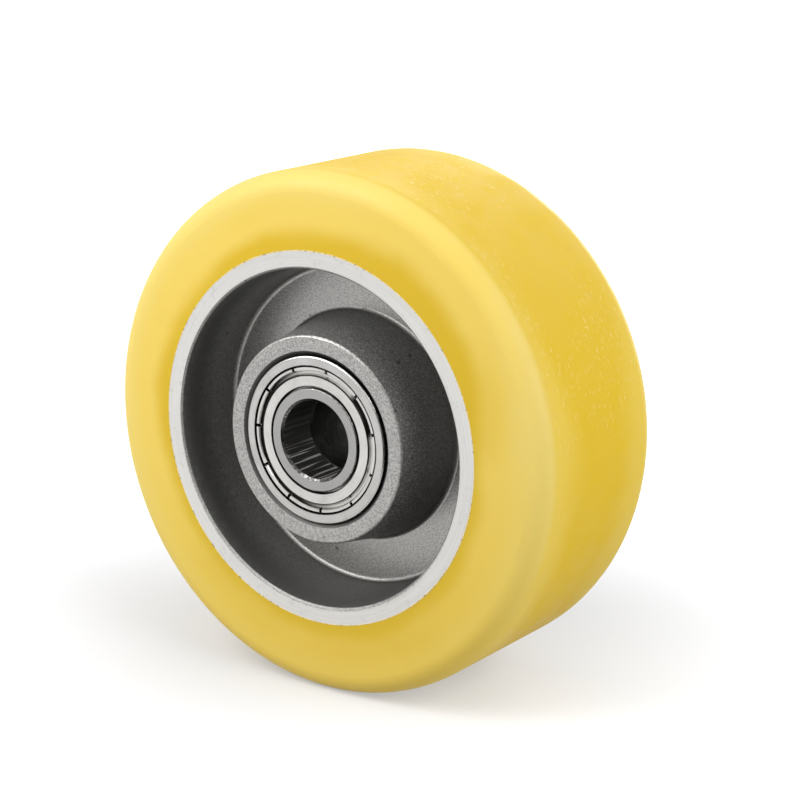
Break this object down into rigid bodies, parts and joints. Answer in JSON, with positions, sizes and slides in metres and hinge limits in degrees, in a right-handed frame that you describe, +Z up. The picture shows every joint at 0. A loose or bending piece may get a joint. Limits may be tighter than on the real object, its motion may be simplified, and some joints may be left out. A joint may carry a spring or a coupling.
{
  "type": "support wheel",
  "caption": "Support wheel with a bonded polyurethane tread on a cast aluminium core, turning on two shielded ball bearings with a spacer tube between them.",
  "frame": {"origin": "wheel centre: the middle of its width, on the axle's axis", "axes": "+Y along the axle's axis, from the side seen in the picture to the far side; +Z up, as the wheel stands on its tread"},
  "size_m": [0.1, 0.04, 0.1],
  "materials": {
    "tread": "smooth cast polyurethane, slightly see-through, with a turned running surface",
    "wheel_core": "die-cast, fine grain; rim faces and bearing seats machined",
    "bearing_steel": "ground and honed bearing steel",
    "shield_steel": "pressed bright sheet steel",
    "cage_steel": "pressed sheet steel, plain",
    "spacer_steel": "turned steel tube, oiled"
  },
  "bodies": {
    "axle_side": {"spacer_tube": "spacer_steel", "front_inner_ring": "bearing_steel", "rear_inner_ring": "bearing_steel"},
    "wheel": {"tread": "tread", "wheel_core": "wheel_core", "front_outer_ring": "bearing_steel", "front_outer_shield": "shield_steel", "front_inner_shield": "shield_steel", "rear_outer_ring": "bearing_steel", "rear_outer_shield": "shield_steel", "rear_inner_shield": "shield_steel"},
    "front_cage": {"front_cage_outer_half": "cage_steel", "front_cage_inner_half": "cage_steel", "front_cage_rivets": "cage_steel", "front_ball_1": "bearing_steel", "front_ball_2": "bearing_steel", "front_ball_3": "bearing_steel", "front_ball_4": "bearing_steel", "front_ball_5": "bearing_steel", "front_ball_6": "bearing_steel", "front_ball_7": "bearing_steel", "front_ball_8": "bearing_steel", "front_ball_9": "bearing_steel"},
    "rear_cage": {"rear_cage_outer_half": "cage_steel", "rear_cage_inner_half": "cage_steel", "rear_cage_rivets": "cage_steel", "rear_ball_1": "bearing_steel", "rear_ball_2": "bearing_steel", "rear_ball_3": "bearing_steel", "rear_ball_4": "bearing_steel", "rear_ball_5": "bearing_steel", "rear_ball_6": "bearing_steel", "rear_ball_7": "bearing_steel", "rear_ball_8": "bearing_steel", "rear_ball_9": "bearing_steel"}
  },
  "joints": [
    {"name": "wheel_spin", "type": "hinge", "parent": "axle_side", "child": "wheel", "pos_m": [0, 0, 0], "axis": [0, 1, 0], "continuous": true},
    {"name": "front_cage_spin", "type": "hinge", "parent": "axle_side", "child": "front_cage", "pos_m": [0, -0.0155, 0], "axis": [0, 1, 0], "continuous": true},
    {"name": "rear_cage_spin", "type": "hinge", "parent": "axle_side", "child": "rear_cage", "pos_m": [0, 0.0155, 0], "axis": [0, 1, 0], "continuous": true}
  ],
  "couplings": [
    {"joint": "front_cage_spin", "follows": "wheel_spin", "ratio": 0.60132},
    {"joint": "rear_cage_spin", "follows": "wheel_spin", "ratio": 0.60132}
  ]
}
